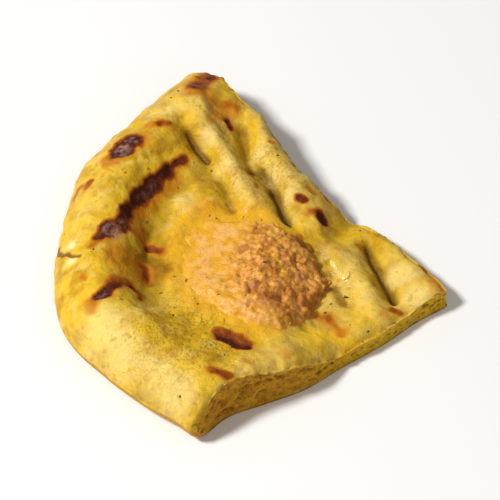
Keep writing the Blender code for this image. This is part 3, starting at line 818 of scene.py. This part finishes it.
def on_bread(source):
    """A random place on the bread's plan."""
    angle = source.uniform(-HALF_ANGLE, HALF_ANGLE) * 0.95
    r = float(crust_distance(np.array([angle]))[0]) * math.sqrt(source.uniform(0.02, 0.93))
    x, y = place(np.array([angle]), np.array([r]))
    return float(x[0]), float(y[0])


def sprinkled(tree, count, radii, lift, source):
    """Random places on the dressed bread, each with a size."""
    places, sizes = [], []
    while len(places) < count:
        landed = drop_on(tree, *on_bread(source), lift)
        if landed is None:
            continue
        places.append(landed)
        sizes.append(source.uniform(*radii) * MM)
    return places, sizes


def herb_flakes(tree):
    source = random.Random(FLAKE_SEED)
    places, sizes = sprinkled(tree, HERB_FLAKES, FLAKE_RADIUS, 0.06, source)
    return scatter("herb_flakes", places, sizes, flake_stretch, source, 1, 0.6)


def toasted_crumbs(tree):
    source = random.Random(CRUMB_SEED)
    places, sizes = sprinkled(tree, BREAD_CRUMBS, CRUMB_RADIUS, 0.08, source)
    return scatter("toasted_crumbs", places, sizes, grain_stretch, source, 1, 0.6)


class Finish:
    """A Principled material whose colour, roughness and height come from noise and painted shares."""

    def __init__(self, name):
        self.material = bpy.data.materials.new(name)
        self.material.use_nodes = True
        self.tree = self.material.node_tree
        self.surface = self.tree.nodes["Principled BSDF"]
        self.where = self.tree.nodes.new("ShaderNodeTexCoord").outputs["Object"]

    def put(self, socket, value):
        if isinstance(value, bpy.types.NodeSocket):
            self.tree.links.new(value, socket)
        elif isinstance(value, tuple) and len(value) == 3 and socket.type == "RGBA":
            socket.default_value = (*value, 1.0)
        else:
            socket.default_value = value

    def share(self, name):
        found = self.tree.nodes.new("ShaderNodeAttribute")
        found.attribute_name = name
        return found.outputs["Fac"]

    def noise(self, size, detail=2.0, distortion=0.0):
        """Noise whose blotches are about this many millimetres across."""
        made = self.tree.nodes.new("ShaderNodeTexNoise")
        self.put(made.inputs["Vector"], self.where)
        made.inputs["Scale"].default_value = 1.0 / (size * MM)
        made.inputs["Detail"].default_value = detail
        made.inputs["Distortion"].default_value = distortion
        return made.outputs["Fac"]

    def math(self, operation, a, b=0.0):
        made = self.tree.nodes.new("ShaderNodeMath")
        made.operation = operation
        self.put(made.inputs[0], a)
        self.put(made.inputs[1], b)
        return made.outputs[0]

    def times(self, a, b):
        return self.math("MULTIPLY", a, b)

    def step(self, value, low, high):
        made = self.tree.nodes.new("ShaderNodeMapRange")
        made.interpolation_type = "SMOOTHSTEP"
        self.put(made.inputs["Value"], value)
        made.inputs["From Min"].default_value = low
        made.inputs["From Max"].default_value = high
        return made.outputs["Result"]

    def mix(self, share, a, b):
        made = self.tree.nodes.new("ShaderNodeMix")
        made.data_type = "RGBA"
        self.put(made.inputs[0], share)
        self.put(made.inputs[6], a)
        self.put(made.inputs[7], b)
        return made.outputs[2]

    def over(self, colour, tint, strength, share, low, high):
        """A colour with a tint laid over it, where a share rises from low to high."""
        return self.mix(self.times(self.step(share, low, high), strength), colour, tint)

    def blend(self, share, a, b):
        made = self.tree.nodes.new("ShaderNodeMix")
        self.put(made.inputs[0], share)
        self.put(made.inputs[2], a)
        self.put(made.inputs[3], b)
        return made.outputs[0]

    def broken(self, name, amount, size):
        """A painted share broken up by noise, more so where the share is larger."""
        present = self.step(self.share(name), 0.02, 0.25)
        uneven = self.times(self.math("SUBTRACT", self.noise(size, 4.0), 0.5), amount)
        return self.math("ADD", self.share(name), self.times(uneven, present))

    def tinted(self, colour, tints):
        """A colour with painted tints laid over it in turn."""
        for name, amount, size, low, high, strength, tint in tints:
            colour = self.over(colour, tint, strength, self.broken(name, amount, size), low, high)
        return colour

    def coat(self, colour, roughness):
        self.put(self.surface.inputs["Base Color"], colour)
        self.put(self.surface.inputs["Roughness"], roughness)

    def bump(self, height, depth, strength=1.0):
        made = self.tree.nodes.new("ShaderNodeBump")
        made.inputs["Strength"].default_value = strength
        made.inputs["Distance"].default_value = depth * MM
        self.put(made.inputs["Height"], height)
        self.put(self.surface.inputs["Normal"], made.outputs["Normal"])

    def softness(self, weight, radius, size):
        self.surface.inputs["Subsurface Weight"].default_value = weight
        self.surface.inputs["Subsurface Radius"].default_value = radius
        self.surface.inputs["Subsurface Scale"].default_value = size * MM


YELLOW, GOLD, PALE = (0.66, 0.42, 0.020), (0.48, 0.265, 0.008), (0.79, 0.61, 0.20)
TOAST, SCORCH = (0.50, 0.165, 0.004), (0.20, 0.036, 0.003)
CHAR, ASH, TAN_ASH = (0.060, 0.008, 0.003), (0.24, 0.14, 0.14), (0.48, 0.27, 0.13)
CRUMB, CRUMB_DARK, PORE_SHADE = (0.54, 0.27, 0.014), (0.39, 0.16, 0.006), (0.17, 0.060, 0.003)
TORN, OLIVE, CREASE_SHADE = (0.85, 0.70, 0.36), (0.33, 0.20, 0.006), (0.13, 0.055, 0.003)
UMBER_STAIN_AND_SHADE, LIT_YELLOW, OIL = (0.20, 0.076, 0.002), (0.86, 0.54, 0.022), (0.76, 0.57, 0.13)
GARLIC_LIGHT, GARLIC_MID, GARLIC_PINK = (0.80, 0.43, 0.080), (0.52, 0.20, 0.018), (0.72, 0.31, 0.085)
GARLIC_DEEP, SMEAR, SMEAR_GOLD = (0.31, 0.080, 0.004), (0.78, 0.43, 0.12), (0.72, 0.37, 0.022)
HERB, HERB_DRY = (0.040, 0.045, 0.010), (0.13, 0.085, 0.018)

# Painted tints of the bread in the order they are laid on: the share's name, how much noise breaks it up and in
# what size, where the tint starts and where it is full, its strength and its colour
# These are painted light and shade: olive that is partly painted shade in the carved places, a pale painted
# highlight on the raised ones, pale patches that are partly painted light, and the brightest yellow as painted
# light.
LIGHT_TINTS = (
    ("low", 0.8, 2.5, 0.1, 0.9, 0.65, OLIVE),
    ("high", 0.8, 2.0, 0.1, 1.0, 0.4, PALE),
    ("pale", 0.6, 2.4, 0.15, 0.95, 0.7, PALE),
    ("painted_light", 0.6, 2.2, 0.1, 0.9, 0.9, LIT_YELLOW),
)
DARK_TINTS = (
    ("stain", 0.8, 3.0, 0.1, 1.0, 0.7, SMEAR_GOLD),
    ("toast", 1.0, 3.0, 0.25, 1.1, 0.7, TOAST),
    # partly oil stain and partly painted shade
    ("umber_stain_and_shade", 0.9, 1.8, 0.1, 1.0, 0.8, UMBER_STAIN_AND_SHADE),
    # painted shade in the creases
    ("crease_shade", 0.4, 1.5, 0.2, 0.9, 0.85, CREASE_SHADE),
)
LAST_TINTS = (
    ("tan", 0.9, 1.2, 0.3, 0.9, 0.8, TAN_ASH),
    ("torn", 1.0, 0.9, 0.3, 0.9, 0.7, TORN),
)


def skin_colour(f, fine, speckle):
    colour = f.mix(f.step(f.noise(4.6, 4.0, 0.4), 0.40, 0.66), YELLOW, GOLD)
    colour = f.over(colour, PALE, 0.35, f.noise(14.0, 3.0), 0.48, 0.72)
    colour = f.over(colour, PALE, 0.35, f.noise(3.2, 3.0, 0.6), 0.52, 0.72)
    colour = f.tinted(colour, LIGHT_TINTS)
    colour = f.mix(f.times(speckle, 0.75), colour, OLIVE)
    colour = f.over(colour, OLIVE, 0.5, f.noise(2.0, 3.0, 0.5), 0.58, 0.72)
    colour = f.over(colour, TOAST, 0.45, f.noise(2.6, 2.0, 0.6), 0.64, 0.74)
    colour = f.over(colour, TOAST, 0.25, fine, 0.60, 0.75)
    return f.tinted(colour, DARK_TINTS)


def crumb_colour(f):
    crumb = f.mix(f.step(f.noise(2.2, 4.0), 0.38, 0.70), CRUMB, CRUMB_DARK)
    # painted light: yellower crumb towards the tip
    crumb = f.mix(f.times(f.share("crumb_painted_light"), 0.8), crumb, YELLOW)
    # painted shade of pores: dark specks of noise, and darkness in the carved air holes by their depth
    crumb = f.over(crumb, PORE_SHADE, 0.6, f.noise(0.9, 2.0), 0.54, 0.66)
    return f.mix(f.times(f.share("pore_shade"), 0.85), crumb, PORE_SHADE)


def underside_colour(f):
    bottom = f.mix(f.step(f.noise(9.0, 4.0, 0.5), 0.45, 0.62), GOLD, TOAST)
    return f.over(bottom, SCORCH, 0.8, f.noise(4.0, 4.0), 0.62, 0.7)


def burnt_colour(f, colour, burn):
    """A colour that turns to toast, then to scorch, then to char with its ash, where the bread is burnt."""
    colour = f.over(colour, TOAST, 0.90, burn, 0.02, 0.52)
    colour = f.over(colour, SCORCH, 0.96, burn, 0.34, 0.82)
    grey = f.over(ASH, TAN_ASH, 0.7, f.noise(1.8, 3.0), 0.48, 0.66)
    burnt = f.over(CHAR, grey, f.share("ash"), f.noise(1.5, 4.0), 0.34, 0.62)
    return f.mix(f.step(burn, 0.66, 0.98), colour, burnt)


def bread_finish():
    f = Finish("grilled_bread")
    fine, burn = f.noise(1.2, 3.0), f.broken("burn", 0.22, 1.6)
    speckle = f.times(f.step(f.noise(0.75, 3.0), 0.48, 0.66), f.share("grainy"))
    colour = f.mix(f.share("crumb"), skin_colour(f, fine, speckle), crumb_colour(f))
    colour = f.mix(f.share("under"), colour, underside_colour(f))
    colour = f.tinted(burnt_colour(f, colour, burn), LAST_TINTS)
    roughness = f.blend(f.step(f.noise(3.0, 3.0), 0.35, 0.65), 0.40, 0.60)
    roughness = f.blend(f.share("oil"), roughness, 0.18)
    roughness = f.blend(f.share("crumb"), roughness, 0.85)
    roughness = f.blend(f.step(burn, 0.5, 0.9), roughness, 0.62)
    f.coat(colour, roughness)
    height = f.math("ADD", f.times(fine, 0.7), f.times(f.noise(0.45, 3.0), 0.4))
    height = f.math("ADD", height, f.times(speckle, 0.3))
    crust = f.times(f.times(f.noise(0.7, 4.0), f.step(burn, 0.5, 0.9)), 1.2)
    f.bump(f.math("ADD", height, crust), 0.4, 0.75)
    f.softness(0.10, (1.0, 0.45, 0.12), 1.4)
    f.surface.inputs["Specular IOR Level"].default_value = 0.15
    return f.material


def garlic_colour(f, dense):
    """Mottled grains where the garlic is dense, and a paler smear elsewhere."""
    grain = f.mix(f.step(f.share("tint"), 0.15, 0.95), GARLIC_MID, GARLIC_LIGHT)
    grain = f.over(grain, GARLIC_PINK, 0.65, f.noise(3.2, 3.0), 0.44, 0.62)
    grain = f.over(grain, SMEAR_GOLD, 0.5, f.noise(2.4, 3.0, 0.5), 0.50, 0.62)
    grain = f.over(grain, GARLIC_DEEP, 0.55, f.noise(1.0, 2.0), 0.50, 0.66)
    smear = f.mix(f.step(f.noise(3.0, 3.0), 0.44, 0.60), SMEAR, SMEAR_GOLD)
    smear = f.over(smear, GARLIC_MID, 0.45, f.noise(1.6, 3.0), 0.54, 0.68)
    return f.mix(dense, smear, grain)


def garlic_heap_finish():
    f = Finish("minced_garlic")
    colour = garlic_colour(f, f.share("dense"))
    # painted shade in the gaps between the grains
    colour = f.mix(f.times(f.times(f.share("groove_shade"), f.share("dense")), 0.7), colour, GARLIC_DEEP)
    colour = f.mix(f.step(f.broken("thin", 0.7, 2.0), 0.2, 0.95), colour, SMEAR_GOLD)
    # orange-brown places, partly browning and partly painted shade
    colour = f.over(colour, GARLIC_DEEP, 0.8, f.broken("brown_and_shade", 0.9, 1.6), 0.1, 0.95)
    f.coat(colour, f.blend(f.step(f.noise(2.0, 3.0), 0.4, 0.6), 0.30, 0.46))
    f.bump(f.noise(0.5, 3.0), 0.3, 0.6)
    f.softness(0.35, (1.0, 0.40, 0.12), 0.7)
    f.surface.inputs["Specular IOR Level"].default_value = 0.32
    return f.material


def garlic_grain_finish():
    f = Finish("garlic_grains")
    f.coat(garlic_colour(f, 1.0), f.blend(f.step(f.noise(1.5, 3.0), 0.4, 0.6), 0.28, 0.45))
    f.bump(f.noise(0.35, 3.0), 0.15, 0.5)
    f.softness(0.55, (1.0, 0.40, 0.12), 1.4)
    f.surface.inputs["Specular IOR Level"].default_value = 0.35
    return f.material


def herb_finish():
    f = Finish("dried_herb")
    f.coat(f.mix(f.share("tint"), HERB, HERB_DRY), 0.6)
    f.bump(f.noise(0.2, 3.0), 0.06, 0.5)
    return f.material


def crumb_finish():
    f = Finish("toasted_crumb")
    f.coat(f.mix(f.share("tint"), SCORCH, TOAST), 0.7)
    f.bump(f.noise(0.2, 3.0), 0.08, 0.5)
    return f.material


def oil_finish():
    f = Finish("oil")
    f.coat(OIL, 0.24)
    f.surface.inputs["Specular IOR Level"].default_value = 0.60
    f.softness(0.4, (1.0, 0.7, 0.25), 1.0)
    return f.material


def floor():
    mesh = bmesh.new()
    bmesh.ops.create_grid(mesh, x_segments=1, y_segments=1, size=3.0)
    data = bpy.data.meshes.new("floor")
    mesh.to_mesh(data)
    mesh.free()
    plane = bpy.data.objects.new("floor", data)
    bpy.context.scene.collection.objects.link(plane)
    pale = bpy.data.materials.new("pale_floor")
    pale.use_nodes = True
    pale.node_tree.nodes["Principled BSDF"].inputs["Base Color"].default_value = (0.85, 0.87, 0.92, 1.0)
    pale.node_tree.nodes["Principled BSDF"].inputs["Roughness"].default_value = 0.7
    data.materials.append(pale)


def area_light(name, towards, distance, size, power, colour):
    """A square light that shines on the object from a direction."""
    made = bpy.data.lights.new(name, "AREA")
    made.shape = "SQUARE"
    made.size = size
    made.energy = power
    made.color = colour
    lamp = bpy.data.objects.new(name, made)
    lamp.location = Vector(towards).normalized() * distance
    lamp.rotation_euler = Vector(towards).to_track_quat("Z", "Y").to_euler()
    bpy.context.scene.collection.objects.link(lamp)


def studio():
    area_light("key", (-0.62, -0.22, 0.74), 1.2, 0.22, 15.8, (1.0, 0.97, 0.90))
    area_light("fill", (0.5, -0.8, 0.9), 1.5, 1.2, 2.6, (1.0, 0.96, 0.90))
    world = bpy.data.worlds.new("studio")
    world.use_nodes = True
    world.node_tree.nodes["Background"].inputs["Color"].default_value = (1.0, 0.94, 0.83, 1.0)
    world.node_tree.nodes["Background"].inputs["Strength"].default_value = 0.30
    bpy.context.scene.world = world
    bpy.context.scene.view_settings.view_transform = "Standard"


def camera():
    """The photo's own viewpoint, about 47 degrees above the wedge, on a long lens."""
    made = bpy.data.cameras.new("camera")
    made.lens = 297.0
    made.clip_start, made.clip_end = 0.05, 20.0
    eye = bpy.data.objects.new("camera", made)
    eye.location = (0.08336, -0.64258, 0.6888)
    aim = Vector((-0.00114, -0.00018, 0.006))
    eye.rotation_euler = (aim - eye.location).to_track_quat("-Z", "Y").to_euler()
    bpy.context.scene.collection.objects.link(eye)
    bpy.context.scene.camera = eye


bread_data, core_data = bread(), garlic_core()
heap_data = garlic_heap(core_data, heap_grains(surface_tree(core_data)))
top_tree = surface_tree(heap_data, bread_data)
show("pita_bread", bread_data, bread_finish(), "bread", "pita_wedge")
show("garlic_heap", heap_data, garlic_heap_finish(), "garlic", "garlic_paste")
show("garlic_strays", stray_grains(top_tree), garlic_grain_finish(), "garlic")
show("herb_flakes", herb_flakes(top_tree), herb_finish(), "bread")
show("toasted_crumbs", toasted_crumbs(top_tree), crumb_finish(), "bread")
show("oil_beads", oil_beads(top_tree), oil_finish(), "bread")
floor()
studio()
camera()
